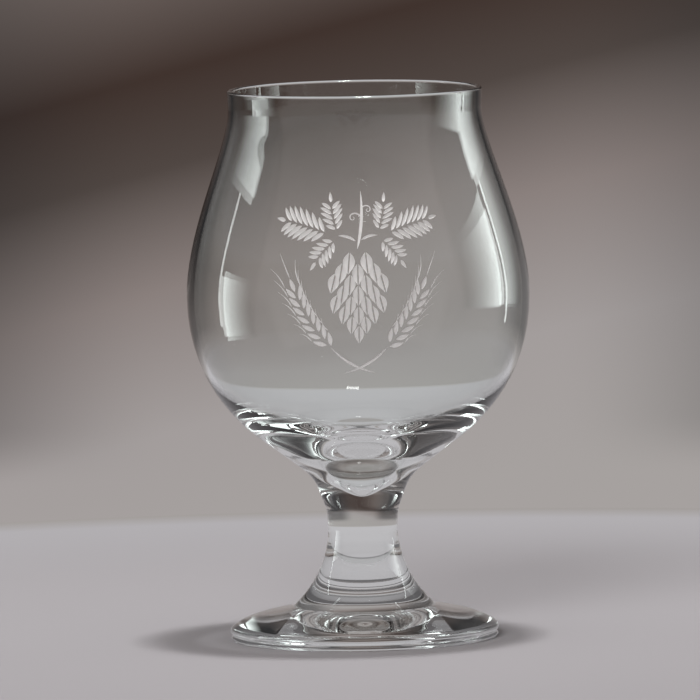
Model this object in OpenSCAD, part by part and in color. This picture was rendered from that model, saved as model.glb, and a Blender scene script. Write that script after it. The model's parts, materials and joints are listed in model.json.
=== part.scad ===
// Stemmed ale glass: a full belly drawn in to a narrow mouth, on a short stem and a broad foot.
// Four pieces of clear glass, each turned about +Z, meet on flat seams where they were joined hot.
// Millimetres, +Z up, with the origin at the middle of the ring that the foot stands on.

/* [Bowl] */
// Height of the whole glass, up to the top of the rim
glass_h = 153.6; // [152:0.1:164]
// Outside radius at the widest part of the belly
belly_r = 47.8; // [44:0.1:52]
// Height of the widest part of the belly
belly_z = 96; // [92:0.1:102]
// Outside radius of the neck, just under the rim
neck_r = 35.3; // [31:0.05:38]
// Height at which the neck stands upright
neck_z = 147.8; // [143:0.1:149]
// Thickness of the wall at the belly
wall_t = 2; // [1.4:0.1:2.4]
// Thickness of the wall at the neck
neck_t = 1.4; // [1.2:0.1:1.8]
// Radius of the funnel where its curve turns from hollow to round
funnel_r = 24; // [22:0.1:26]
// Height of that turn
funnel_z = 53.3; // [52:0.1:55]
// Radius of the throat, where the funnel runs out to the collar
throat_r = 12.45; // [11.8:0.05:13]
// Height of the throat
throat_z = 42.6; // [42:0.1:43.4]

/* [Inside] */
// Radius of the dish at the bottom, where it turns down to the drop
dish_r = 26.5; // [24:0.1:28]
// Height of that turn
dish_z = 60.4; // [59.5:0.1:62]
// Radius of the drop's steep side
drop_r = 9.5; // [8:0.1:11]
// Height on that side
drop_z = 50.9; // [50:0.1:52.5]
// Height of the drop's tip, which was drawn down over the collar
tip_z = 41.3; // [40.8:0.1:44]

/* [Rim] */
// Thickness of the fire-polished bead
bead_d = 1.5; // [1.2:0.1:2.2]
// How far the bead stands out from the neck
bead_proud = 0.2; // [0:0.1:0.8]

/* [Collar] */
// Radius of the seam under the bowl
collar_top_r = 11.25; // [10.9:0.05:11.6]
// Radius of the seam over the stem
collar_low_r = 10.1; // [9.9:0.05:10.4]
// Height of the seam under the bowl
collar_top_z = 39.4; // [38.6:0.1:39.8]
// Height of the seam over the stem
collar_low_z = 36; // [35.4:0.1:36.6]

/* [Stem] */
// Radius of the stem's waist
waist_r = 9.75; // [8:0.05:9.9]
// Height of the waist
waist_z = 30.5; // [28:0.1:31.5]
// Radius of the flared end that sits on the foot
flare_r = 19.9; // [18:0.1:22]
// Height of the seam between stem and foot
flare_z = 9.2; // [8.5:0.1:11]

/* [Foot] */
// Outside radius of the foot
foot_r = 37.4; // [34:0.1:42]
// Width and height of the rounding between the dome and the edge's widest line
edge_h = 2.2; // [1.5:0.1:2.6]
// Height of the edge's widest line
edge_z = 2.7; // [2.4:0.1:3]
// Depth of the mould line's shallow groove round the edge
groove_d = 0.6; // [0.2:0.1:1]
// Height of that groove
groove_z = 1.5; // [1.3:0.1:1.7]
// How far the lip under the groove lies inside the edge
lip_d = 0.2; // [0:0.1:0.6]
// Outside radius of the flat ring that the glass stands on
ring_out_r = 36.4; // [33:0.1:36.4]
// Inside radius of that ring
ring_in_r = 33.6; // [28:0.1:33.6]
// Rise of the hollow under the foot
hollow_h = 3; // [1:0.1:4]

/* [Hidden] */
$fn = 96;
glass_tint = [0.80, 0.86, 0.85, 0.45];
// Straight steps along a long, a middling and a short curve of an outline
long_steps = 12;
mid_steps = 6;
short_steps = 3;
// Facets of the bead, all the way round its section
bead_facets = 20;

// Turning points of the bowl's outside, from the seam up
seat = [collar_top_r, collar_top_z];
throat = [throat_r, throat_z];
funnel = [funnel_r, funnel_z];
belly = [belly_r, belly_z];
neck = [neck_r, neck_z];
lip_out = [neck_r + bead_proud, glass_h - bead_d / 2];
// Turning points of its inside, from the rim down
lip_in = lip_out - [bead_d, 0];
neck_in = neck - [neck_t, 0];
belly_in = belly - [wall_t, 0];
dish = [dish_r, dish_z];
drop = [drop_r, drop_z];
tip = [0, tip_z];
// Slopes of those curves, in degrees from upright
seat_slope = 21;
throat_slope = 21;
funnel_slope = 52;
dish_slope = 70.3;
drop_slope = 29;
// Reaches of the bowl's curves from their turning points
seat_reach = 1;
throat_low_reach = 1.1;
throat_high_reach = 4;
funnel_low_reach = 7.5;
funnel_high_reach = 4;
belly_low_reach = 28.5;
belly_high_reach = 19;
neck_reach = 10;
lip_reach = 0.8;
belly_in_reach = 24.4;
dish_out_reach = 6.2;
dish_in_reach = 10;
drop_high_reach = 5.2;
drop_low_reach = 6;
tip_reach = 2.3;

// Turning points of the stem, from the collar down
stem_top = [collar_low_r, collar_low_z];
waist = [waist_r, waist_z];
flare = [flare_r, flare_z];
// The slopes of collar and stem in degrees from upright, and the reaches of their curves
stem_top_slope = 10;
flare_slope = -50;
collar_low_reach = 0.9;
collar_top_reach = 1.5;
stem_top_reach = 1.2;
waist_high_reach = 3;
waist_low_reach = 8.6;
flare_reach = 7;

// Turning points of the foot's outline, from the stem out and down
shoulder = [foot_r - edge_h, edge_z + edge_h];
edge = [foot_r, edge_z];
groove = [foot_r - groove_d, groove_z];
lip_low = [foot_r - lip_d, groove_z / 2];
ring_out = [ring_out_r, 0];
// The foot's slopes in degrees from upright, and the reaches of its curves
dome_slope = -76;
shoulder_slope = -60;
dome_reach = 4;
shoulder_in_reach = 5.5;
shoulder_out_reach = 1.2;
edge_high_reach = 1.1;
edge_low_reach = 0.5;
groove_reach = 0.3;
lip_low_reach = 0.4;

// A step of length d, in a direction a degrees from upright
function along(a, d) = d * [sin(a), cos(a)];

// Points of a cubic curve with ends p0 and p3, leaving out p0 itself
function curve(p0, p1, p2, p3, steps) = [
    for (i = [1:steps])
        let (t = i / steps, u = 1 - t)
            u * u * u * p0 + 3 * u * u * t * p1 + 3 * u * t * t * p2 + t * t * t * p3
];

// Points of the circle's arc over a chord, from the ring's inside up to the axis
function hollow_arc(steps) = [
    let (arc_r = (ring_in_r * ring_in_r + hollow_h * hollow_h) / (2 * hollow_h))
        for (i = [0:steps])
            let (r = ring_in_r * (1 - i / steps))
                [r, hollow_h - arc_r + sqrt(arc_r * arc_r - r * r)]
];

// Outside of the bowl, from the seam to the bead
function bowl_outside() = concat(
    [seat],
    curve(seat, seat + along(seat_slope, seat_reach), throat - along(throat_slope, throat_low_reach),
        throat, short_steps),
    curve(throat, throat + along(throat_slope, throat_high_reach),
        funnel - along(funnel_slope, funnel_low_reach), funnel, mid_steps),
    curve(funnel, funnel + along(funnel_slope, funnel_high_reach), belly - [0, belly_low_reach],
        belly, long_steps),
    curve(belly, belly + [0, belly_high_reach], neck - [0, neck_reach], neck, long_steps),
    curve(neck, neck + [0, lip_reach], lip_out - [0, lip_reach], lip_out, short_steps)
);

// Inside of the bowl, from the bead down to the tip of the drop
function bowl_inside() = concat(
    [lip_in],
    curve(lip_in, lip_in - [0, lip_reach], neck_in + [0, lip_reach], neck_in, short_steps),
    curve(neck_in, neck_in - [0, neck_reach], belly_in + [0, belly_high_reach], belly_in, long_steps),
    curve(belly_in, belly_in - [0, belly_in_reach], dish + along(dish_slope, dish_out_reach),
        dish, long_steps),
    curve(dish, dish - along(dish_slope, dish_in_reach), drop + along(drop_slope, drop_high_reach),
        drop, mid_steps),
    curve(drop, drop - along(drop_slope, drop_low_reach), tip + [tip_reach, 0], tip, mid_steps)
);

// Blown bowl: a thin wall with a polished bead at the rim, and a heavy base that the inside dips into
module bowl() {
    color(glass_tint)
        rotate_extrude() {
            polygon(concat(bowl_outside(), bowl_inside(), [[0, collar_top_z]]));
            translate((lip_out + lip_in) / 2)
                circle(d = bead_d, $fn = bead_facets);
        }
}

// Collar: the gather of glass that joins the bowl to the stem, drawn smooth between two seams
module collar() {
    color(glass_tint)
        rotate_extrude()
            polygon(concat(
                [[0, collar_low_z], stem_top],
                curve(stem_top, stem_top + along(stem_top_slope, collar_low_reach),
                    seat - along(seat_slope, collar_top_reach), seat, mid_steps),
                [[0, collar_top_z]]
            ));
}

// Stem: solid glass, drawn in to a waist and flared where it sits on the foot
module stem() {
    color(glass_tint)
        rotate_extrude()
            polygon(concat(
                [[0, collar_low_z], stem_top],
                curve(stem_top, stem_top - along(stem_top_slope, stem_top_reach),
                    waist + [0, waist_high_reach], waist, mid_steps),
                curve(waist, waist - [0, waist_low_reach], flare + along(flare_slope, flare_reach),
                    flare, long_steps),
                [[0, flare_z]]
            ));
}

// Foot: a domed disc with a rounded edge and a shallow mould line, hollow beneath
module foot() {
    color(glass_tint)
        rotate_extrude()
            polygon(concat(
                [[0, flare_z], flare],
                curve(flare, flare - along(dome_slope, dome_reach),
                    shoulder + along(shoulder_slope, shoulder_in_reach), shoulder, mid_steps),
                curve(shoulder, shoulder - along(shoulder_slope, shoulder_out_reach),
                    edge + [0, edge_high_reach], edge, mid_steps),
                curve(edge, edge - [0, edge_low_reach], groove + [0, groove_reach], groove, short_steps),
                curve(groove, groove - [0, groove_reach], lip_low + [0, groove_reach], lip_low, short_steps),
                curve(lip_low, lip_low - [0, lip_low_reach], ring_out + [lip_low_reach, 0],
                    ring_out, short_steps),
                hollow_arc(long_steps)
            ));
}

bowl();
collar();
stem();
foot();
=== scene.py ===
"""Looks of a stemmed ale glass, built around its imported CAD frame.

The four pieces of the glass are drawn as half profiles and spun about the axis, so that they hold the
curves of the CAD solids more finely. The seams where the pieces were joined hot don't show in a real glass,
and their faces are clear here. A sprig of hops and barley is sand-carved into the front of the bowl.
"""

import json
import logging
import math
from collections import Counter
from dataclasses import dataclass, replace
from enum import Enum
from typing import Callable, Iterator, Sequence

import bpy
from mathutils import Matrix, Vector

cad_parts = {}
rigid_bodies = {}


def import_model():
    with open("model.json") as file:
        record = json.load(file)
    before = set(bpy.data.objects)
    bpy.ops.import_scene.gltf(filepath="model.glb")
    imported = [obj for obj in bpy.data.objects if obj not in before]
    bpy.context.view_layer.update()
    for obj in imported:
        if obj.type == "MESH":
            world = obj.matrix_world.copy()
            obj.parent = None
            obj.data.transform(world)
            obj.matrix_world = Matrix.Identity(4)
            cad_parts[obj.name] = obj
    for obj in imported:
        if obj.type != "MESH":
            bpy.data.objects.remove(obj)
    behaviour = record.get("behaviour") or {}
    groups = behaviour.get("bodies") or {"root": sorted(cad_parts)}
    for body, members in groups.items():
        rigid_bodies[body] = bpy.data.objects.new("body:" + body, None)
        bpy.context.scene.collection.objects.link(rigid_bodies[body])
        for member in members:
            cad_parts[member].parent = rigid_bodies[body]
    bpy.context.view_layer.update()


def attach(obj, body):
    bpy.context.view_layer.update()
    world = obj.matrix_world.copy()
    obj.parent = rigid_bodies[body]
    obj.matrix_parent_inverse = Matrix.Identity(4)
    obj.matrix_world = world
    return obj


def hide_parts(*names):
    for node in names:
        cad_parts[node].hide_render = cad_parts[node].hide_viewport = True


LOG = logging.getLogger("ale_glass")

# A place or a step in a drawing, in mm, the two ends of a range, and a place in the room, in metres
Point = tuple[float, float]
Span = tuple[float, float]
Place = tuple[float, float, float]

# Metres in a millimetre
MM = 0.001
# Steps round the axis in a turned piece, and along each curve of its profile
SPIN_STEPS = 192
CURVE_STEPS = 18
# Bend under which a profile is straight, and over which a piece has a crease, in degrees
STRAIGHT = 0.02
CREASE = 40.0
# Distance under which two points are one, in mm
MERGE = 0.001
# Handle length of a quarter circle drawn as one cubic curve, as a share of its radius
QUARTER = 0.5523
# Halvings in a search along a curve
HALVINGS = 30
# Headings of a profile's line, in degrees from upright towards the outside
UP = 0.0
DOWN = 180.0
INWARD = -90.0
# Least half width of a cut of the carving, in mm
LEAST_HALF = 0.05
# Refractive index of soda-lime glass
GLASS_IOR = 1.52
# Colour of the lamps at the sides
SIDE_LAMP = "#F2FAF8"
# Settings of nodes that are used often
SMOOTH = {"interpolation_type": "SMOOTHSTEP"}
TIMES = {"operation": "MULTIPLY"}
LARGER = {"operation": "MAXIMUM"}


class Side(Enum):
    """A side of the glass as the camera sees it, as the sign of X."""

    LEFT = -1
    RIGHT = 1


def linear(hex_colour: str, alpha: float = 1.0) -> tuple[float, float, float, float]:
    """Turns an sRGB hex colour to linear light.

    Args:
        hex_colour: A colour such as "#B2AFB2".
        alpha: Its alpha.

    Returns:
        Red, green, blue and alpha, in linear light.
    """
    def channel(start: int) -> float:
        """One channel, from its two hex digits."""
        value = int(hex_colour[start:start + 2], 16) / 255
        return value / 12.92 if value <= 0.04045 else ((value + 0.055) / 1.055) ** 2.4
    return channel(1), channel(3), channel(5), alpha


def add_node(tree: bpy.types.NodeTree, kind: str, settings: dict | None = None, *values: object,
             **named: object) -> bpy.types.Node:
    """Adds a node with its settings, and sets or links its inputs.

    Args:
        tree: The node tree.
        kind: The node's type name, after "ShaderNode".
        settings: Properties of the node itself. "stops" holds a colour ramp's places and sRGB hex colours.
        values: The first inputs in order, each a value, the socket that it is linked from, or the node whose
            first output it is linked from.
        named: The same by socket names, with spaces as underscores.

    Returns:
        The new node.
    """
    node = tree.nodes.new("ShaderNode" + kind)
    for name, value in (settings or {}).items():
        if name == "stops":
            for place, _ in value[2:]:
                node.color_ramp.elements.new(place)
            for element, (place, colour) in zip(node.color_ramp.elements, value):
                element.position = place
                element.color = linear(colour)
        else:
            setattr(node, name, value)
    inputs = list(enumerate(values)) + [(name.replace("_", " "), value) for name, value in named.items()]
    for key, value in inputs:
        if isinstance(value, bpy.types.Node):
            value = value.outputs[0]
        if isinstance(value, bpy.types.NodeSocket):
            tree.links.new(value, node.inputs[key])
        else:
            node.inputs[key].default_value = value
    return node


def new_material(name: str) -> tuple[bpy.types.Material, bpy.types.NodeTree]:
    """Makes an empty node material.

    Args:
        name: The material's name.

    Returns:
        The material and its node tree.
    """
    material = bpy.data.materials.new(name)
    material.use_nodes = True
    material.node_tree.nodes.clear()
    return material, material.node_tree


@dataclass(frozen=True)
class GlassFinish:
    """A finish of soda-lime glass: its colour, how matt it is, and the relief that the work left in it."""

    material: str
    colour: str
    roughness: float
    transmission: float
    # Size and depth of the relief, in mm, and the detail and roughness of its noise
    relief: float
    relief_depth: float
    detail: float
    grain: float

    def build(self) -> bpy.types.Material:
        """Makes the material.

        Returns:
            The material.
        """
        material, tree = new_material(self.material)
        place = add_node(tree, "TexCoord")
        noise = add_node(tree, "TexNoise", Vector=place.outputs["Object"], Scale=1 / (self.relief * MM),
                         Detail=self.detail, Roughness=self.grain)
        bump = add_node(tree, "Bump", Height=noise.outputs["Fac"], Strength=1.0,
                        Distance=self.relief_depth * MM)
        glass = add_node(tree, "BsdfPrincipled", Base_Color=linear(self.colour), IOR=GLASS_IOR,
                         Roughness=self.roughness, Transmission_Weight=self.transmission, Normal=bump)
        add_node(tree, "OutputMaterial", Surface=glass)
        return material


# Blown or pressed and fire-polished: clear, very smooth, with slow waves, and faintly green where it is thick
CLEAR_GLASS = GlassFinish("clear_soda_lime_glass", "#FAFDFC", roughness=0.0, transmission=1.0, relief=16.0,
                          relief_depth=0.012, detail=1.0, grain=0.4)
# Sand-carved: a pitted, matt white skin that still lets some light through. The pits that the grit leaves are
# drawn coarser than the real 0.1 mm so that they show
CARVED_GLASS = GlassFinish("sand_carved_glass", "#FAF9F8", roughness=0.62, transmission=0.2, relief=0.35,
                           relief_depth=0.05, detail=2.0, grain=0.6)


@dataclass(frozen=True)
class FusedSeam:
    """The inside of a hot-joined seam, where glass runs on into glass and nothing shows."""

    def build(self) -> bpy.types.Material:
        """Makes the material.

        Returns:
            The material.
        """
        material, tree = new_material("fused_glass_seam")
        add_node(tree, "OutputMaterial", Surface=add_node(tree, "BsdfTransparent"))
        return material


@dataclass(frozen=True)
class Knot:
    """A point of a half profile: its radius and height, in mm, and how the line runs through it."""

    r: float
    z: float
    # The way that the line runs, in degrees from upright towards the outside
    heading: float = UP
    # How far its curves keep that way before and after the point, in mm. None makes a corner
    back: float = 0.0
    on: float = 0.0

    def ahead(self, reach: float) -> Point:
        """The radius and height that far ahead."""
        angle = math.radians(self.heading)
        return self.r + reach * math.sin(angle), self.z + reach * math.cos(angle)

    def turned(self) -> "Knot":
        """The same point, with the line run the other way."""
        return Knot(self.r, self.z, self.heading + DOWN, self.on, self.back)


def cubic(ends: Sequence[float], t: float) -> float:
    """The value of a cubic curve with these four handles, at a share of its length."""
    u = 1 - t
    return u ** 3 * ends[0] + 3 * u * u * t * ends[1] + 3 * u * t * t * ends[2] + t ** 3 * ends[3]


def only(obj: bpy.types.Object) -> None:
    """Selects one object alone and makes it active.

    Args:
        obj: The object.
    """
    bpy.ops.object.select_all(action="DESELECT")
    obj.select_set(True)
    bpy.context.view_layer.objects.active = obj


def add_object(operator: Callable[..., set[str]], name: str, **settings: object) -> bpy.types.Object:
    """Deselects everything and adds one object.

    Args:
        operator: The operator that adds it.
        name: The object's name.
        settings: What the operator is told.

    Returns:
        The object, selected and active.
    """
    bpy.ops.object.select_all(action="DESELECT")
    operator(**settings)
    obj = bpy.context.object
    obj.name = name
    return obj


def close_up(obj: bpy.types.Object) -> None:
    """Merges the doubled points of an object and turns its faces outwards.

    Args:
        obj: The object.
    """
    only(obj)
    bpy.ops.object.mode_set(mode="EDIT")
    bpy.ops.mesh.select_all(action="SELECT")
    bpy.ops.mesh.remove_doubles(threshold=MERGE * MM)
    bpy.ops.mesh.normals_make_consistent(inside=False)
    bpy.ops.object.mode_set(mode="OBJECT")


def draw_profile(name: str, knots: Sequence[Knot]) -> bpy.types.Object:
    """Draws a half profile in the XZ plane as one curve, and makes it a chain of edges.

    Args:
        name: The object's name.
        knots: Its points in order.

    Returns:
        A mesh object of edges.
    """
    obj = add_object(bpy.ops.curve.primitive_bezier_curve_add, name, location=(0, 0, 0))
    spline = obj.data.splines[0]
    spline.bezier_points.add(len(knots) - len(spline.bezier_points))
    for point, knot in zip(spline.bezier_points, knots):
        point.handle_left_type = point.handle_right_type = "FREE"
        places = (knot.ahead(-knot.back), knot.ahead(0), knot.ahead(knot.on))
        point.handle_left, point.co, point.handle_right = (Vector((r, 0, z)) * MM for r, z in places)
    obj.data.resolution_u = CURVE_STEPS
    bpy.ops.object.convert(target="MESH")
    return bpy.context.object


def spin_profile(obj: bpy.types.Object) -> None:
    """Spins a half profile about the Z axis to a closed piece with its faces outwards.

    Args:
        obj: The mesh of edges, which becomes the piece.
    """
    only(obj)
    bpy.ops.object.mode_set(mode="EDIT")
    bpy.ops.mesh.select_all(action="SELECT")
    bpy.ops.mesh.dissolve_limited(angle_limit=math.radians(STRAIGHT))
    bpy.ops.mesh.select_all(action="SELECT")
    bpy.ops.mesh.spin(steps=SPIN_STEPS, angle=2 * math.pi, center=(0, 0, 0), axis=(0, 0, 1))
    bpy.ops.object.mode_set(mode="OBJECT")
    close_up(obj)
    bpy.ops.object.shade_smooth_by_angle(angle=math.radians(CREASE))


@dataclass
class TurnedPiece:
    """A piece of the glass that is turned about the axis and stands for one CAD node."""

    node: str
    knots: Sequence[Knot]
    # Heights of the flat seams to its neighbours, in mm
    seams: Sequence[float]

    def build(self, glass: bpy.types.Material, seam: bpy.types.Material) -> bpy.types.Object:
        """Makes the piece, dresses it and sets it on the frame.

        Args:
            glass: The material of its polished faces.
            seam: The material of the faces that are joined to a neighbour.

        Returns:
            The piece.
        """
        obj = draw_profile(f"glass_{self.node}", self.knots)
        spin_profile(obj)
        obj.data.materials.append(glass)
        obj.data.materials.append(seam)
        for face in obj.data.polygons:
            if any(abs(face.center.z - z * MM) < MERGE * MM for z in self.seams):
                face.material_index = 1
        obj.cycles.is_caustics_caster = True
        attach(obj, "root")
        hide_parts(self.node)
        return obj


@dataclass
class AleGlass:
    """The sizes of the glass, in mm, the same as those of the CAD solids."""

    # The bowl's outside, from the seam up
    seat: Knot = Knot(11.25, 39.4, 21, back=1.5, on=1)
    throat: Knot = Knot(12.45, 42.6, 21, back=1.1, on=4)
    funnel: Knot = Knot(24.0, 53.3, 52, back=7.5, on=4)
    belly: Knot = Knot(47.8, 96.0, UP, back=28.5, on=19)
    neck: Knot = Knot(35.3, 147.8, UP, back=10, on=0.8)
    # The rim: its top, and the thickness of its bead and how far that stands out
    height: float = 153.6
    bead: float = 1.5
    bead_proud: float = 0.2
    # The wall at the belly and at the neck, and how far the inside keeps straight down from the belly
    wall: float = 2.0
    neck_wall: float = 1.4
    belly_in_reach: float = 24.4
    # The inside of the base: the dish, the side of the drop in it, and the drop's tip
    dish: Knot = Knot(26.5, 60.4, 250.3, back=6.2, on=10)
    drop: Knot = Knot(9.5, 50.9, 209, back=5.2, on=6)
    tip: Knot = Knot(0, 41.3, INWARD, back=2.3)
    # The stem: its seam to the collar, run upwards, its waist and its flare
    stem_top: Knot = Knot(10.1, 36.0, 10, back=1.2, on=0.9)
    waist: Knot = Knot(9.75, 30.5, DOWN, back=3, on=8.6)
    flare: Knot = Knot(19.9, 9.2, 130, back=7)
    # The foot: how its dome starts from the flare, its edge with the mould line, its ring and its hollow
    dome_heading: float = 104.0
    dome_reach: float = 4.0
    shoulder: Knot = Knot(35.2, 4.9, 120, back=5.5, on=1.2)
    edge: Knot = Knot(37.4, 2.7, DOWN, back=1.1, on=0.5)
    groove: Knot = Knot(36.8, 1.5, DOWN, back=0.3, on=0.25)
    lip: Knot = Knot(37.2, 0.75, DOWN, back=0.25, on=0.4)
    ring_out: Knot = Knot(36.4, 0, INWARD, back=0.4)
    ring_in: Knot = Knot(33.6, 0, -80, on=11)
    hollow: Knot = Knot(0, 3.0, INWARD, back=11)

    def outside_radius(self, z: float) -> float:
        """Finds the bowl's outside radius.

        Args:
            z: A height over the funnel and under the neck, in mm.

        Returns:
            The radius there, in mm.
        """
        start, end = (self.belly, self.neck) if z >= self.belly.z else (self.funnel, self.belly)
        radii, heights = zip(start.ahead(0), start.ahead(start.on), end.ahead(-end.back), end.ahead(0))
        low, high = 0.0, 1.0
        for _ in range(HALVINGS):
            t = (low + high) / 2
            if cubic(heights, t) < z:
                low = t
            else:
                high = t
        return cubic(radii, low)

    def bowl(self) -> TurnedPiece:
        """The bowl: out along the seam, up the outside, over the bead and down the inside to the axis.

        Returns:
            The piece, not yet built.
        """
        lip_z = self.height - self.bead / 2
        out_r = self.neck.r + self.bead_proud
        arc = QUARTER * self.bead / 2
        return TurnedPiece("bowl", (
            Knot(0, self.seat.z),
            replace(self.seat, back=0.0),
            self.throat,
            self.funnel,
            self.belly,
            self.neck,
            Knot(out_r, lip_z, UP, self.neck.on, arc),
            Knot(out_r - self.bead / 2, self.height, INWARD, arc, arc),
            Knot(out_r - self.bead, lip_z, DOWN, arc, self.neck.on),
            Knot(self.neck.r - self.neck_wall, self.neck.z, DOWN, self.neck.on, self.neck.back),
            Knot(self.belly.r - self.wall, self.belly.z, DOWN, self.belly.on, self.belly_in_reach),
            self.dish,
            self.drop,
            self.tip,
        ), [self.seat.z])

    def collar(self) -> TurnedPiece:
        """The collar: the gather that joins bowl and stem, drawn smooth between two flat seams.

        Returns:
            The piece, not yet built.
        """
        return TurnedPiece("collar", (
            Knot(0, self.stem_top.z),
            replace(self.stem_top, back=0.0),
            replace(self.seat, on=0.0),
            Knot(0, self.seat.z),
        ), [self.stem_top.z, self.seat.z])

    def stem(self) -> TurnedPiece:
        """The stem: in to a waist and out to a flare.

        Returns:
            The piece, not yet built.
        """
        return TurnedPiece("stem", (
            Knot(0, self.stem_top.z),
            replace(self.stem_top.turned(), back=0.0),
            self.waist,
            self.flare,
            Knot(0, self.flare.z),
        ), [self.stem_top.z, self.flare.z])

    def foot(self) -> TurnedPiece:
        """The foot: over its dome to the rounded edge, past the mould line and under to the axis.

        Returns:
            The piece, not yet built.
        """
        return TurnedPiece("foot", (
            Knot(0, self.flare.z),
            Knot(self.flare.r, self.flare.z, self.dome_heading, on=self.dome_reach),
            self.shoulder,
            self.edge,
            self.groove,
            self.lip,
            self.ring_out,
            self.ring_in,
            self.hollow,
        ), [self.flare.z])

    def pieces(self) -> list[TurnedPiece]:
        """All four pieces, from the mouth down."""
        return [self.bowl(), self.collar(), self.stem(), self.foot()]


@dataclass(frozen=True)
class Stroke:
    """One cut of the carving: its path across the bowl and its half width along it, in mm."""

    path: Sequence[Point]
    half: Sequence[float]


def arc_point(start: Point, end: Point, bow: float, t: float) -> tuple[Point, Point]:
    """A point of a bowed line and its direction there.

    Args:
        start: Where the line begins.
        end: Where it ends.
        bow: How far its middle bends to the left.
        t: The share of the way along.

    Returns:
        The point and a unit step along the line.
    """
    along = (end[0] - start[0], end[1] - start[1])
    length = math.hypot(*along)
    side = (-along[1] / length, along[0] / length)
    shift = 4 * bow * t * (1 - t)
    turn = 4 * bow * (1 - 2 * t) / length
    point = (start[0] + along[0] * t + side[0] * shift, start[1] + along[1] * t + side[1] * shift)
    step = (along[0] / length + side[0] * turn, along[1] / length + side[1] * turn)
    size = math.hypot(*step)
    return point, (step[0] / size, step[1] / size)


def cut(start: Point, end: Point, width: float, bow: float = 0.0, fullest: float = 0.5, steps: int = 9,
        blunt: float = 0.8) -> Stroke:
    """Draws one tapered cut.

    Args:
        start: Where the cut begins.
        end: Where it ends.
        width: Its greatest width.
        bow: How far its middle bends to the left of the straight line.
        fullest: The share of its length at which it is widest.
        steps: Points along it.
        blunt: The power of its outline. The smaller it is, the blunter are the ends.

    Returns:
        The cut.
    """
    power = math.log(0.5) / math.log(fullest)
    shares = [step / (steps - 1) for step in range(steps)]
    path = [arc_point(start, end, bow, t)[0] for t in shares]
    half = [max(LEAST_HALF, width / 2 * math.sin(math.pi * t ** power) ** blunt) for t in shares]
    return Stroke(path, half)


def off(point: Point, step: Point, forward: float, left: float = 0.0) -> Point:
    """The point so far forward along a step and to its left."""
    return point[0] + step[0] * forward - step[1] * left, point[1] + step[1] * forward + step[0] * left


def swung(step: Point, degrees: float) -> Point:
    """The step, turned to the left."""
    angle = math.radians(degrees)
    return off((0.0, 0.0), step, math.cos(angle), math.sin(angle))


@dataclass(frozen=True)
class HopCone:
    """A hop cone hanging point down: rows of bracts, each two cuts with a clear vein between them."""

    top: Point = (0.0, 8.2)
    rows: Sequence[int] = (2, 3, 4, 3, 4, 3, 2, 1)
    # Distances between the rows and between the bracts of a row, and the shares of them that each row loses
    row_gap: float = 3.35
    pitch: float = 4.7
    closer: float = 0.011
    shrink: float = 0.03
    # A bract's width and length, half its vein, the powers of its outline, and the points along it
    bract: Point = (3.3, 6.3)
    vein: float = 0.17
    fullest: float = 0.86
    blunt: float = 1.2
    steps: int = 9
    # The degrees that a bract leans out at a distance aside, and a row's rise by that distance squared
    splay: float = 16.0
    splay_at: float = 7.0
    rise: float = 0.012

    def bract_cuts(self, base: Point, heading: float, size: float) -> Iterator[Stroke]:
        """Yields the two halves of one bract.

        Args:
            base: Where the bract begins.
            heading: Its lean to the right of straight down, in radians.
            size: Its size against a bract of the first row.
        """
        step = (math.sin(heading), -math.cos(heading))
        for way in (1, -1):
            path = []
            half = []
            for i in range(self.steps):
                t = i / (self.steps - 1)
                full = self.bract[0] * size / 4 * math.sin(math.pi * t ** self.fullest) ** self.blunt
                path.append(off(base, step, self.bract[1] * size * t, way * (full + self.vein)))
                half.append(max(LEAST_HALF, full))
            yield Stroke(path, half)

    def strokes(self) -> Iterator[Stroke]:
        """Yields the cuts of all bracts."""
        for row, count in enumerate(self.rows):
            size = 1 - self.shrink * row
            drop = row * self.row_gap * (1 - self.closer * row)
            for place in range(count):
                aside = (place - (count - 1) / 2) * self.pitch * size
                heading = math.radians(self.splay * aside / self.splay_at)
                base = (self.top[0] + aside, self.top[1] - drop + self.rise * aside ** 2)
                yield from self.bract_cuts(base, heading, size)


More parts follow.
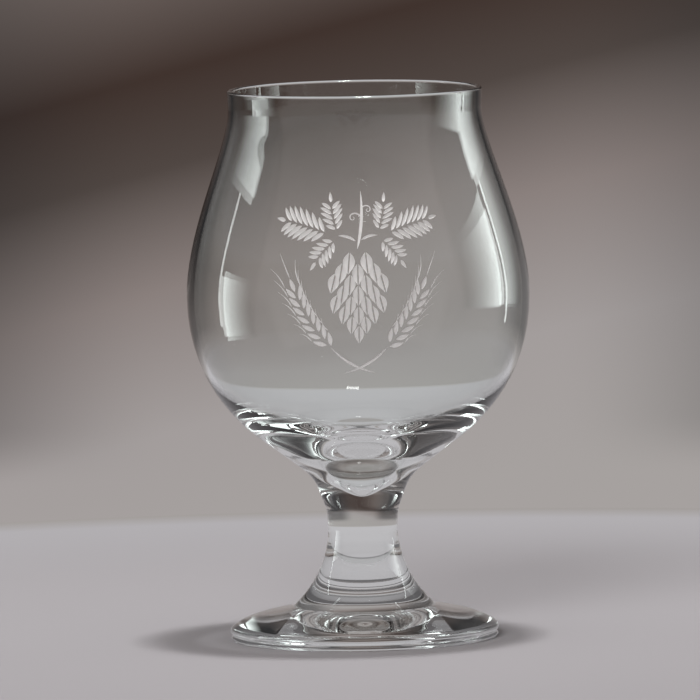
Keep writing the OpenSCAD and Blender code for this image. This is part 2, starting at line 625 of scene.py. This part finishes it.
@dataclass(frozen=True)
class Leaf:
    """A hop leaf of three lobes, each a clear midrib with slanting cuts on both sides."""

    base: Point
    heading: float
    bow: float
    length: float
    width: float
    # Where the cuts of the middle lobe and of a side lobe start, and how many pairs they are
    start: float = 4.0
    side_start: float = 2.0
    veins: int = 7
    side_veins: int = 5
    # A side lobe's turn from the middle one, its length and width against that, and its bow
    side_turn: float = 64.0
    side_length: float = 0.6
    side_width: float = 0.66
    side_bow: float = 0.3
    # Room before the first pair of cuts, and room beside the pairs in all, in distances between pairs
    lead: float = 0.15
    spare: float = 0.7
    # The part of a full outline that the cuts reach to, as its start and length, and the outline's powers
    outline: Span = (0.2, 0.68)
    fullest: float = 0.9
    blunt: float = 0.85
    # Half the midrib, a cut's share of the distance between pairs, and its slant and bend against its reach
    rib: float = 0.24
    fill: float = 0.72
    slant: float = 0.8
    bend: float = 0.05
    # The lobe's last cut: its share of the way along the midrib, and its start and end from there
    last_at: float = 0.9
    last: Span = (0.5, 3.4)

    def lobe(self, heading: float, length: float, width: float, start: float, bow: float,
             veins: int) -> Iterator[Stroke]:
        """Yields the cuts of one lobe.

        Args:
            heading: Its direction from the leaf's base, in degrees.
            length: The distance of its tip from there.
            width: Its greatest width.
            start: The distance at which its cuts start.
            bow: How far its midrib bends to the left.
            veins: Its pairs of cuts.
        """
        angle = math.radians(heading)
        way = (math.cos(angle), math.sin(angle))
        root = off(self.base, way, start)
        tip = off(self.base, way, length)
        gap = (length - start) / (veins + self.spare)
        for side in (1, -1):
            for vein in range(veins):
                t = (vein + self.lead) / (veins + self.spare)
                point, step = arc_point(root, tip, bow, t)
                place = self.outline[0] + self.outline[1] * t
                out = width / 2 * math.sin(math.pi * place ** self.fullest) ** self.blunt
                first = off(point, step, 0, side * self.rib)
                last = off(point, step, out * self.slant, side * (self.rib + out))
                yield cut(first, last, gap * self.fill, -side * self.bend * out, fullest=0.44, steps=7,
                          blunt=0.5)
        point, step = arc_point(root, tip, bow, self.last_at)
        first, last = (off(point, step, forward) for forward in self.last)
        yield cut(first, last, gap * self.fill, fullest=0.35, steps=7, blunt=0.7)

    def strokes(self) -> Iterator[Stroke]:
        """Yields the cuts of the three lobes."""
        yield from self.lobe(self.heading, self.length, self.width, self.start, self.bow, self.veins)
        for side in (1, -1):
            yield from self.lobe(self.heading + side * self.side_turn, self.length * self.side_length,
                                 self.width * self.side_width, self.side_start, -side * self.side_bow,
                                 self.side_veins)


@dataclass(frozen=True)
class BarleyEar:
    """An ear of barley on a bowed stalk: two rows of grains, each with its long awn."""

    side: Side
    # The ends of stalk and ear on the right side, their bows to the left, and the stalk's width
    foot: Point = (-4.5, -27.5)
    neck: Point = (8.4, -19.8)
    tip: Point = (19.0, -3.6)
    stalk_bow: float = -1.2
    bow: float = -0.9
    stalk: float = 0.75
    # The grains of a row, how far one row is ahead, and a grain's width and length, bow and widest part
    grains: int = 7
    stagger: float = 0.05
    grain: Point = (1.42, 4.3)
    grain_bow: float = 0.12
    grain_fullest: float = 0.45
    # Where a grain starts, forward and aside, and the degrees that it leans out, less so along the ear
    grain_at: Point = (0.5, 0.42)
    lean: Span = (33.0, 9.0)
    # An awn's length, the share of it that the first ones have, its width, bow and distance from its grain
    awn: float = 7.5
    awn_first: float = 0.55
    awn_width: float = 0.36
    awn_bow: float = 0.5
    awn_gap: float = 0.45
    # The degrees that an awn turns back in, less so along the ear
    awn_turn: Span = (17.0, 9.0)
    # Start and end of the grain at the tip, and the start of its awn
    last: Span = (0.6, 4.6)
    last_awn: float = 5.0

    def awn_cut(self, start: Point, end: Point, bow: float) -> Stroke:
        """Draws one awn."""
        return cut(start, end, self.awn_width, bow, fullest=0.2, steps=7)

    def strokes(self) -> Iterator[Stroke]:
        """Yields the cuts of the stalk, the grains and the awns."""
        sign = self.side.value
        foot, neck, tip = ((sign * x, y) for x, y in (self.foot, self.neck, self.tip))
        width, length = self.grain
        yield cut(foot, neck, self.stalk, sign * self.stalk_bow, steps=11)
        for row in range(self.grains):
            t = row / self.grains
            for side in (1, -1):
                point, step = arc_point(neck, tip, sign * self.bow, t + (self.stagger if side > 0 else 0))
                lean = swung(step, side * (self.lean[0] - self.lean[1] * t))
                first = off(point, step, self.grain_at[0], side * self.grain_at[1])
                last = off(first, lean, length)
                yield cut(first, last, width, side * self.grain_bow, self.grain_fullest)
                way = swung(lean, -side * (self.awn_turn[0] - self.awn_turn[1] * t))
                start = off(last, lean, self.awn_gap)
                end = off(start, way, self.awn * (self.awn_first + (1 - self.awn_first) * t))
                yield self.awn_cut(start, end, -side * self.awn_bow)
        point, step = arc_point(neck, tip, sign * self.bow, 1.0)
        first, last = (off(point, step, forward) for forward in self.last)
        yield cut(first, last, width, fullest=self.grain_fullest)
        yield self.awn_cut(off(point, step, self.last_awn), off(point, step, self.last_awn + self.awn), 0)


@dataclass(frozen=True)
class Tendril:
    """A tendril that winds up tighter and gets thinner as it goes."""

    start: Point
    heading: float
    length: float
    turns: float
    width: float = 0.5
    steps: int = 24
    # Its first share of the mean bend and of the mean step, and what it gains of them on the way
    bend: Span = (0.35, 1.3)
    stride: Span = (1.35, -0.9)
    # The share of its width that it loses, and its least half width
    taper: float = 0.75
    least_half: float = 0.08

    def stroke(self) -> Stroke:
        """Draws the tendril.

        Returns:
            Its one cut.
        """
        path = [self.start]
        half = [self.width / 2]
        angle = math.radians(self.heading)
        for step in range(self.steps):
            t = (step + 1) / self.steps
            angle += self.turns * 2 * math.pi / self.steps * (self.bend[0] + self.bend[1] * t)
            size = self.length / self.steps * (self.stride[0] + self.stride[1] * t)
            path.append(off(path[-1], (math.cos(angle), math.sin(angle)), size))
            half.append(max(self.least_half, self.width / 2 * (1 - self.taper * t)))
        return Stroke(path, half)


@dataclass(frozen=True)
class CarvedSprig:
    """A spray of hops and barley that is sand-carved into the front of the bowl, in mm."""

    # Height of its middle, and its size against the drawing
    middle_z: float = 103.6
    size: float = 0.93
    # Depth of a cut that is 2 mm wide; narrower cuts are shallower
    depth: float = 0.42
    # Room between the cuts of one layer
    room: float = 0.5
    # Width under which a face that the carving leaves is a sliver
    sliver: float = 0.002
    # Reach of the smooth normals round the carving, aside and up
    reach: Point = (34.0, 34.0)

    def cuts(self) -> list[Stroke]:
        """Draws every cut of the spray.

        Returns:
            The cuts.
        """
        parts = (
            HopCone(),
            Leaf((-5.8, 13.0), heading=164, bow=-0.25, length=17.5, width=9.4),
            Leaf((6.2, 13.0), heading=16, bow=0.25, length=17.0, width=9.0),
            BarleyEar(Side.LEFT),
            BarleyEar(Side.RIGHT),
        )
        return [stroke for part in parts for stroke in part.strokes()] + [
            cut((0.0, 9.4), (1.2, 26.0), width=0.95, bow=-0.7, fullest=0.4, steps=11, blunt=0.6),
            cut((-0.5, 11.6), (-5.6, 13.2), width=0.8, bow=-0.5, fullest=0.4, steps=7, blunt=0.6),
            cut((1.2, 11.9), (6.0, 13.2), width=0.8, bow=0.5, fullest=0.4, steps=7, blunt=0.6),
            Tendril((1.5, 21.4), heading=40, length=6.4, turns=-1.2).stroke(),
            Tendril((1.1, 18.7), heading=125, length=7.6, turns=1.15).stroke(),
        ]

    def layers(self) -> list[list[Stroke]]:
        """Sorts the cuts into layers, in each of which no two come near each other.

        Returns:
            The layers.
        """
        layers = []
        for stroke in self.cuts():
            for layer in layers:
                if not any(self.meets(stroke, other) for other in layer):
                    layer.append(stroke)
                    break
            else:
                layers.append([stroke])
        return layers

    def meets(self, one: Stroke, other: Stroke) -> bool:
        """Tells whether two cuts come near each other."""
        return any(math.dist(here, there) < half + other_half + self.room
                   for here, half in zip(one.path, one.half)
                   for there, other_half in zip(other.path, other.half))

    def build_cutter(self, strokes: list[Stroke], radius_at: Callable[[float], float]) -> bpy.types.Object:
        """Makes a layer of cuts one mesh, wrapped on the bowl.

        Args:
            strokes: The cuts, which keep clear of each other.
            radius_at: Gives the bowl's outside radius at a height, in mm.

        Returns:
            The cutting mesh.
        """
        cutter = add_object(bpy.ops.curve.primitive_bezier_curve_add, "sprig_cutter", location=(0, 0, 0))
        curve = cutter.data
        curve.splines.clear()
        curve.dimensions = "3D"
        curve.bevel_depth = 1.0
        curve.bevel_resolution = 2
        curve.use_fill_caps = True
        for stroke in strokes:
            spline = curve.splines.new("POLY")
            spline.points.add(len(stroke.path) - 1)
            for point, place, half in zip(spline.points, stroke.path, stroke.half):
                point.co = (place[0] * self.size, 0, place[1] * self.size, 1)
                point.radius = half * self.size
        bpy.ops.object.convert(target="MESH")
        cutter = bpy.context.object
        for vertex in cutter.data.vertices:
            aside, into, up = vertex.co
            z = self.middle_z + up
            radius = radius_at(z)
            angle = aside / radius
            radius -= math.copysign(self.depth * math.sqrt(abs(into)), into)
            vertex.co = Vector((radius * math.sin(angle), -radius * math.cos(angle), z)) * MM
        close_up(cutter)
        return cutter

    def near(self, place: Vector) -> bool:
        """Tells whether a point of the bowl, in metres, is at the front and near the carving."""
        aside, up = self.reach
        return place.y < 0 and abs(place.x) < aside * MM and abs(place.z / MM - self.middle_z) < up

    def carve(self, bowl: bpy.types.Object, radius_at: Callable[[float], float],
              frosted: bpy.types.Material) -> None:
        """Cuts the spray into the bowl and frosts the cuts.

        Args:
            bowl: The finished bowl, uncut.
            radius_at: Gives the bowl's outside radius at a height, in mm.
            frosted: The material of the cuts.
        """
        bowl.data.materials.append(frosted)
        frosted_slot = len(bowl.data.materials) - 1
        only(bowl)
        bpy.ops.object.duplicate()
        uncut = bpy.context.object
        for strokes in self.layers():
            cutter = self.build_cutter(strokes, radius_at)
            for material in bowl.data.materials:
                cutter.data.materials.append(material)
            for face in cutter.data.polygons:
                face.material_index = frosted_slot
            only(bowl)
            difference = bowl.modifiers.new("carve", "BOOLEAN")
            difference.operation = "DIFFERENCE"
            difference.solver = "MANIFOLD"
            difference.material_mode = "INDEX"
            difference.object = cutter
            bpy.ops.object.modifier_apply(modifier=difference.name)
            bpy.data.objects.remove(cutter)
        self.clean(bowl)
        self.smooth(bowl, uncut, frosted_slot)
        bpy.data.objects.remove(uncut)

    def clean(self, bowl: bpy.types.Object) -> None:
        """Takes out the slivers and folded faces that the carving leaves.

        Args:
            bowl: The carved bowl.
        """
        only(bowl)
        bpy.ops.object.mode_set(mode="EDIT")
        bpy.ops.mesh.select_mode(type="FACE")
        bpy.ops.mesh.select_all(action="SELECT")
        bpy.ops.mesh.remove_doubles(threshold=self.sliver * MM)
        bpy.ops.mesh.dissolve_degenerate(threshold=self.sliver * MM)
        bpy.ops.mesh.quads_convert_to_tris()
        bpy.ops.mesh.select_all(action="DESELECT")
        bpy.ops.object.mode_set(mode="OBJECT")
        twins = Counter(frozenset(face.vertices) for face in bowl.data.polygons)
        self.drop(bowl, lambda face: twins[frozenset(face.vertices)] > 1)
        uses = Counter(key for face in bowl.data.polygons for key in face.edge_keys)
        self.drop(bowl, lambda face: any(uses[key] == 1 for key in face.edge_keys))

    def drop(self, bowl: bpy.types.Object, stray: Callable[[bpy.types.MeshPolygon], bool]) -> None:
        """Deletes stray faces of the bowl.

        Args:
            bowl: The carved bowl, as the only selected object.
            stray: Tells whether a face is to go.
        """
        for face in bowl.data.polygons:
            face.select = stray(face)
        bpy.ops.object.mode_set(mode="EDIT")
        bpy.ops.mesh.delete(type="FACE")
        bpy.ops.object.mode_set(mode="OBJECT")

    def smooth(self, bowl: bpy.types.Object, uncut: bpy.types.Object, frosted_slot: int) -> None:
        """Keeps the cuts' edges crisp and the clear faces round them as smooth as before.

        Args:
            bowl: The carved bowl.
            uncut: The bowl as it was.
            frosted_slot: The material slot of the cuts.
        """
        mesh = bowl.data
        only(bowl)
        bpy.ops.object.shade_smooth_by_angle(angle=math.radians(CREASE))
        frosted_edges = set()
        clear_edges = set()
        clear_points = set()
        for face in mesh.polygons:
            if face.material_index == frosted_slot:
                frosted_edges.update(face.edge_keys)
            else:
                clear_edges.update(face.edge_keys)
                clear_points.update(v for v in face.vertices if self.near(mesh.vertices[v].co))
        for edge in mesh.edges:
            if edge.key in frosted_edges and edge.key in clear_edges:
                edge.use_edge_sharp = True
        group = bowl.vertex_groups.new(name="clear_front")
        group.add(sorted(clear_points), 1.0, "REPLACE")
        transfer = bowl.modifiers.new("smooth_front", "DATA_TRANSFER")
        transfer.object = uncut
        transfer.use_loop_data = True
        transfer.data_types_loops = {"CUSTOM_NORMAL"}
        transfer.loop_mapping = "POLYINTERP_NEAREST"
        transfer.vertex_group = group.name
        bpy.ops.object.modifier_apply(modifier=transfer.name)
        bowl.vertex_groups.clear()


@dataclass(frozen=True)
class Panel:
    """A graded panel of white cloth over a lamp, at one side, which only the front of the glass mirrors."""

    # What the glass shows it on
    name: str
    side: Side
    # The angles of its dark and bright edges from the camera's direction, in degrees
    bearings: Span
    # The heights of its lower and upper edges, in metres, and how bright its bright edge is
    heights: Span
    radiance: float
    # Its distance from the axis, in metres
    away: float = 0.34
    # The power by which it fades from its bright edge to nothing at the other
    fade: float = 1.6
    # The most faces of glass that light passes which the front wall mirrors, in and out again
    passes: int = 2

    def material(self) -> bpy.types.Material:
        """Makes the lit cloth.

        Returns:
            The material.
        """
        material, tree = new_material("lit_diffuser")
        across = add_node(tree, "SeparateXYZ", Vector=add_node(tree, "UVMap"))
        fade = add_node(tree, "Math", {"operation": "POWER"}, across.outputs["X"], self.fade)
        strength = add_node(tree, "Math", TIMES, fade, self.radiance)
        glow = add_node(tree, "Emission", Color=linear(SIDE_LAMP), Strength=strength)
        clear = add_node(tree, "BsdfTransparent")
        path = add_node(tree, "LightPath")
        mirrored = add_node(tree, "Math", {"operation": "MINIMUM"}, path.outputs["Glossy Depth"], 1.0)
        front = add_node(tree, "Math", {"operation": "LESS_THAN"}, path.outputs["Transmission Depth"],
                         self.passes + 1)
        seen = add_node(tree, "Math", TIMES, mirrored, front)
        mix = add_node(tree, "MixShader", None, seen, clear, glow)
        add_node(tree, "OutputMaterial", Surface=mix)
        material.cycles.emission_sampling = "NONE"
        return material

    def build(self) -> None:
        """Stands the panel in the studio."""
        name = f"{self.name}_panel_{self.side.name.lower()}"
        panel = add_object(bpy.ops.mesh.primitive_plane_add, name, size=1)
        for loop in panel.data.loops:
            across, up = panel.data.uv_layers[0].data[loop.index].uv
            bearing = math.radians(self.bearings[0] + (self.bearings[1] - self.bearings[0]) * across)
            panel.data.vertices[loop.vertex_index].co = (
                self.side.value * self.away * math.sin(bearing), -self.away * math.cos(bearing),
                self.heights[0] + (self.heights[1] - self.heights[0]) * up)
        panel.visible_camera = False
        panel.visible_diffuse = False
        panel.visible_shadow = False
        panel.data.materials.append(self.material())


@dataclass(frozen=True)
class SoftLight:
    """A soft rectangular light, which neither the camera nor a look through the glass shows."""

    name: str
    # Its place, and its width and height, in metres
    at: Place
    size: Span
    # How bright its face is, where 1 is white in the picture
    radiance: float
    # The point that it faces
    aim: Place = (0.0, 0.0, 0.1)
    colour: str = "#FFFFFF"
    # Whether the glass mirrors it, and whether the glass gathers its light on the floor
    mirrored: bool = True
    gathered: bool = False

    def build(self) -> None:
        """Hangs the light."""
        light = add_object(bpy.ops.object.light_add, self.name, type="AREA", location=self.at)
        light.data.shape = "RECTANGLE"
        light.data.size, light.data.size_y = self.size
        light.data.energy = self.radiance * math.pi * self.size[0] * self.size[1]
        light.data.color = linear(self.colour)[:3]
        light.data.cycles.is_caustics_light = self.gathered
        light.rotation_mode = "QUATERNION"
        light.rotation_quaternion = (Vector(self.aim) - Vector(self.at)).to_track_quat("-Z", "Y")
        light.visible_camera = False
        light.visible_glossy = self.mirrored
        light.visible_transmission = False


# Colours of the floor, by the share of the way to the wall
FLOOR_STOPS = ((0.0, "#B2AFB2"), (0.92, "#B2AFB2"), (1.0, "#A29D9A"))
# Colours of the wall, by the share of its height, darker above as painted shade, and the colour of its
# painted shade on the diagonals and sides
WALL_STOPS = ((0.0, "#A6A19F"), (0.125, "#A39D9C"), (0.2625, "#8A807D"), (0.38, "#504743"),
              (0.47, "#40332E"), (0.68, "#857B77"), (1.0, "#6E6561"))
WALL_SHADE_PAINT = "#161D21"
# Colours of the room over the wall, by the sine of the height angle
ROOM_STOPS = ((0.0, "#9F9796"), (0.17, "#97908E"), (0.34, "#7E7471"), (0.5, "#4C423F"), (0.65, "#443A37"),
              (1.0, "#8E8886"))
# The panels that the belly, its right edge and the neck mirror, those for the neck close by
PANELS = (
    Panel("belly", Side.LEFT, bearings=(72, 100), heights=(0.0, 0.135), radiance=5.5),
    Panel("belly", Side.RIGHT, bearings=(72, 109), heights=(0.06, 0.205), radiance=5.5),
    Panel("edge", Side.RIGHT, bearings=(134, 113), heights=(0.06, 0.24), radiance=2.0),
    Panel("neck", Side.LEFT, bearings=(104, 72), heights=(0.1455, 0.158), radiance=5.0, away=0.09),
    Panel("neck", Side.RIGHT, bearings=(118, 90), heights=(0.1455, 0.158), radiance=5.0, away=0.09),
)
# The small light overhead and the large soft fills
LIGHTS = (
    SoftLight("overhead", at=(0.046, 0.0, 0.83), size=(0.08, 0.08), radiance=190.0, gathered=True),
    SoftLight("top_fill", at=(0.0, -0.3, 1.6), size=(1.4, 1.4), radiance=0.4, mirrored=False),
    SoftLight("front_fill", at=(-0.5, -1.7, 1.0), size=(0.8, 0.8), radiance=7.0, mirrored=False),
)


@dataclass(frozen=True)
class Studio:
    """A pale floor, a round wall painted darker with height as painted shade, and soft lights out of the
    frame, in metres.
    """

    floor_r: float = 6.0
    board_roughness: float = 0.5
    # Distances from the axis between which the floor's own colour takes over from the light of the lamps
    unlit: Span = (0.16, 0.35)
    # How much of the floor's own colour, without its shadows, shows in and through the glass
    shown_flat: float = 0.85
    # Painted light: how much paler the floor is painted where it shows through the glass, as painted caustic
    # brightening, near the axis and further out, and those distances
    caustic_paint_gain: Span = (0.12, 0.17)
    caustic_paint_at: Span = (0.05, 0.13)
    # Painted shadow: how much darker the floor is painted under the foot's ring, and where that comes in and
    # goes out
    painted_ring_shadow: float = 0.7
    ring_in: Span = (0.0315, 0.0335)
    ring_out: Span = (0.0362, 0.0382)
    # The wall's distance from the axis and its height
    wall_r: float = 0.358
    wall_h: float = 0.32
    # How much lower its painted shade reaches at the left and higher at the right, so far from the middle
    wall_tilt: float = 0.03
    tilt_x: float = 0.12
    # Where its front towards the camera ends, as shares of its distance, and how its painted shade is drawn
    # up there
    front: Span = (-0.45, -0.2)
    front_rise: float = 0.3
    # Its painted shade on the diagonals: how dark it is, and where it begins and is full, as products of
    # the two parts of a level unit step and as heights
    corner_share: float = 0.62
    corner: Span = (0.16, 0.42)
    corner_z: Span = (0.01, 0.03)
    # Its painted shade at the sides over the height of the belly: the same, as shares of its distance and as
    # heights
    side_share: float = 0.88
    side: Span = (0.3, 0.6)
    side_z: Span = (0.085, 0.125)
    # The strip lights: the angle of each from the camera's direction, in degrees, their distance from the
    # axis, the height of their middles, their size and how bright they are
    strips: Sequence[tuple[Side, float]] = ((Side.LEFT, 101.0), (Side.RIGHT, 112.0))
    strip_r: float = 0.34
    strip_z: float = 0.19
    strip_size: Span = (0.012, 0.33)
    strip_radiance: float = 6.0
    # Sides of the round floor and wall
    round_steps: int = 96

    def floor_material(self) -> bpy.types.Material:
        """Pale board, which the lights light near the glass and which runs out evenly to the wall, with a
        painted shadow under the foot's ring and painted light where it shows through the glass.

        Returns:
            The material.
        """
        material, tree = new_material("painted_board")
        place = add_node(tree, "TexCoord")
        length = add_node(tree, "VectorMath", {"operation": "LENGTH"}, place.outputs["Object"])
        away = length.outputs["Value"]
        share = add_node(tree, "MapRange", None, away, 0.0, self.wall_r)
        ramp = add_node(tree, "ValToRGB", {"stops": FLOOR_STOPS}, share)
        lit = add_node(tree, "BsdfDiffuse", Color=ramp, Roughness=self.board_roughness)
        path = add_node(tree, "LightPath")
        through = path.outputs["Is Transmission Ray"]
        # Painted light: the board shows paler through the glass, as painted caustic brightening
        gain = add_node(tree, "MapRange", SMOOTH, away, *self.caustic_paint_at, *self.caustic_paint_gain)
        lens = add_node(tree, "Math", {"operation": "MULTIPLY_ADD"}, gain, through, 1.0)
        # Painted shadow: the board is painted darker where the foot's ring stands on it
        ring_in = add_node(tree, "MapRange", SMOOTH, away, *self.ring_in)
        ring_out = add_node(tree, "MapRange", SMOOTH, away, *self.ring_out, self.painted_ring_shadow, 0.0)
        ring_shadow_amount = add_node(tree, "Math", TIMES, ring_in, ring_out)
        strength = add_node(tree, "Math", {"operation": "SUBTRACT"}, lens, ring_shadow_amount)
        painted = add_node(tree, "Emission", Color=ramp, Strength=strength)
        far = add_node(tree, "MapRange", SMOOTH, away, *self.unlit)
        shown = add_node(tree, "Math", {"operation": "ADD"}, through, path.outputs["Is Glossy Ray"])
        flat = add_node(tree, "Math", TIMES, shown, self.shown_flat)
        mix = add_node(tree, "MixShader", None, add_node(tree, "Math", LARGER, far, flat), lit, painted)
        add_node(tree, "OutputMaterial", Surface=mix)
        material.cycles.emission_sampling = "NONE"
        return material

    def wall_material(self) -> bpy.types.Material:
        """Paint that is pale below and painted shade above, on the diagonals and at the sides, and that only
        shows from inside the room.

        Returns:
            The material.
        """
        material, tree = new_material("painted_wall")
        place = add_node(tree, "TexCoord")
        x, y, z = add_node(tree, "SeparateXYZ", Vector=place.outputs["Object"]).outputs
        # Painted shade: the wall is darker at the left than at the right at the same height
        tilt = add_node(tree, "MapRange", None, x, -self.tilt_x, self.tilt_x, self.wall_tilt, -self.wall_tilt)
        height = add_node(tree, "Math", {"operation": "ADD"}, z, tilt)
        behind = add_node(tree, "MapRange", SMOOTH, y, *(part * self.wall_r for part in self.front))
        # Towards the camera the wall stays pale higher up, with its painted shade drawn up, and has no
        # painted shade on the diagonals and sides
        reach = add_node(tree, "MapRange", Value=behind, To_Min=self.front_rise, To_Max=1.0)
        shade = add_node(tree, "Math", TIMES, height, reach)
        # Painted shade: the wall darkens upwards
        share = add_node(tree, "MapRange", None, shade, 0.0, self.wall_h)
        ramp = add_node(tree, "ValToRGB", {"stops": WALL_STOPS}, share)
        # Painted shade on the diagonals and at the sides, behind the glass
        product = add_node(tree, "Math", {"operation": "ABSOLUTE"}, add_node(tree, "Math", TIMES, x, y))
        aside = add_node(tree, "Math", {"operation": "ABSOLUTE"}, x)
        corner = [part * self.wall_r ** 2 for part in self.corner]
        side = [part * self.wall_r for part in self.side]
        darks = []
        for out, ends, heights, most in ((product, corner, self.corner_z, self.corner_share),
                                         (aside, side, self.side_z, self.side_share)):
            level = add_node(tree, "MapRange", SMOOTH, out, *ends)
            above = add_node(tree, "MapRange", SMOOTH, z, *heights)
            both = add_node(tree, "Math", TIMES, level, above)
            darks.append(add_node(tree, "Math", TIMES, both, most))
        dark = add_node(tree, "Math", TIMES, add_node(tree, "Math", LARGER, *darks), behind)
        paint = add_node(tree, "MixRGB", None, dark, ramp, linear(WALL_SHADE_PAINT))
        painted = add_node(tree, "Emission", Color=paint)
        clear = add_node(tree, "BsdfTransparent")
        face = add_node(tree, "NewGeometry")
        mix = add_node(tree, "MixShader", None, face.outputs["Backfacing"], clear, painted)
        add_node(tree, "OutputMaterial", Surface=mix)
        material.cycles.emission_sampling = "NONE"
        return material

    def build_floor(self) -> None:
        """Lays the floor."""
        floor = add_object(bpy.ops.mesh.primitive_circle_add, "floor", vertices=self.round_steps,
                           radius=self.floor_r, fill_type="NGON")
        floor.data.materials.append(self.floor_material())
        floor.cycles.is_caustics_receiver = True

    def build_wall(self) -> None:
        """Stands the round wall on the floor."""
        wall = add_object(bpy.ops.mesh.primitive_cylinder_add, "wall", vertices=self.round_steps,
                          radius=self.wall_r, depth=self.wall_h, end_fill_type="NOTHING",
                          location=(0, 0, self.wall_h / 2))
        bpy.ops.object.transform_apply(location=True)
        bpy.ops.object.shade_smooth()
        wall.visible_diffuse = False
        wall.visible_shadow = False
        wall.data.materials.append(self.wall_material())

    def build_lights(self) -> None:
        """Hangs the strip lights, stands the panels, and hangs the light overhead and the fills."""
        for side, bearing in self.strips:
            angle = math.radians(bearing)
            at = (side.value * self.strip_r * math.sin(angle), -self.strip_r * math.cos(angle), self.strip_z)
            SoftLight(f"strip_{side.name.lower()}", at, self.strip_size, self.strip_radiance,
                      aim=(0.0, 0.0, self.strip_z), colour=SIDE_LAMP).build()
        for panel in PANELS:
            panel.build()
        for light in LIGHTS:
            light.build()

    def build_world(self) -> None:
        """Fills the room with warm grey light, pale near the horizon and dim above."""
        world = bpy.data.worlds.new("dim_room")
        bpy.context.scene.world = world
        world.use_nodes = True
        tree = world.node_tree
        tree.nodes.clear()
        way = add_node(tree, "TexCoord")
        parts = add_node(tree, "SeparateXYZ", Vector=way.outputs["Generated"])
        ramp = add_node(tree, "ValToRGB", {"stops": ROOM_STOPS}, parts.outputs["Z"])
        add_node(tree, "OutputWorld", Surface=add_node(tree, "Background", Color=ramp))

    def build(self) -> None:
        """Builds the whole studio."""
        self.build_floor()
        self.build_wall()
        self.build_lights()
        self.build_world()


@dataclass(frozen=True)
class PhotoCamera:
    """The camera: a long lens a little above the glass, rolled slightly, framed for a square picture."""

    frame_px: float = 700.0
    px_per_mm: float = 3.59
    # Its distance from the point that it looks at, and the depth that it shows, in metres
    away: float = 3.5
    clip: Span = (0.05, 30.0)
    # Its angles over the horizon and about its own axis, in degrees
    elevation: float = 4.95
    roll: float = 1.15
    aim_mm: tuple[float, float, float] = (-2.6, 0.0, 80.5)

    def build(self) -> None:
        """Adds the camera and makes it the scene's own."""
        aim = Vector(self.aim_mm) * MM
        back = Vector((0, -math.cos(math.radians(self.elevation)), math.sin(math.radians(self.elevation))))
        camera = add_object(bpy.ops.object.camera_add, "photo_camera", location=aim + back * self.away)
        frame_width = self.frame_px / self.px_per_mm * MM
        camera.data.lens = camera.data.sensor_width * self.away / frame_width
        camera.data.clip_start, camera.data.clip_end = self.clip
        roll = Matrix.Rotation(math.radians(-self.roll), 3, "Z")
        turn = (-back).to_track_quat("-Z", "Y").to_matrix() @ roll
        camera.rotation_mode = "QUATERNION"
        camera.rotation_quaternion = turn.to_quaternion()
        bpy.context.scene.camera = camera


def set_render_looks() -> None:
    """Sets the view transform, and lets rays pass the many faces of the glass."""
    scene = bpy.context.scene
    scene.view_settings.view_transform = "Standard"
    scene.cycles.max_bounces = 40
    scene.cycles.transmission_bounces = 32
    scene.cycles.glossy_bounces = 16
    scene.cycles.transparent_max_bounces = 48


def main() -> None:
    """Builds the glass, the studio and the camera."""
    logging.basicConfig(level=logging.INFO, format="%(name)s: %(message)s")
    for obj in list(bpy.context.scene.objects):
        bpy.data.objects.remove(obj)
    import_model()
    PhotoCamera().build()
    glass = CLEAR_GLASS.build()
    seam = FusedSeam().build()
    frosted = CARVED_GLASS.build()
    ale_glass = AleGlass()
    for piece in ale_glass.pieces():
        obj = piece.build(glass, seam)
        if piece.node == "bowl":
            CarvedSprig().carve(obj, ale_glass.outside_radius, frosted)
        LOG.info("%s: %d faces", obj.name, len(obj.data.polygons))
    Studio().build()
    set_render_looks()


if __name__ == "__main__":
    main()
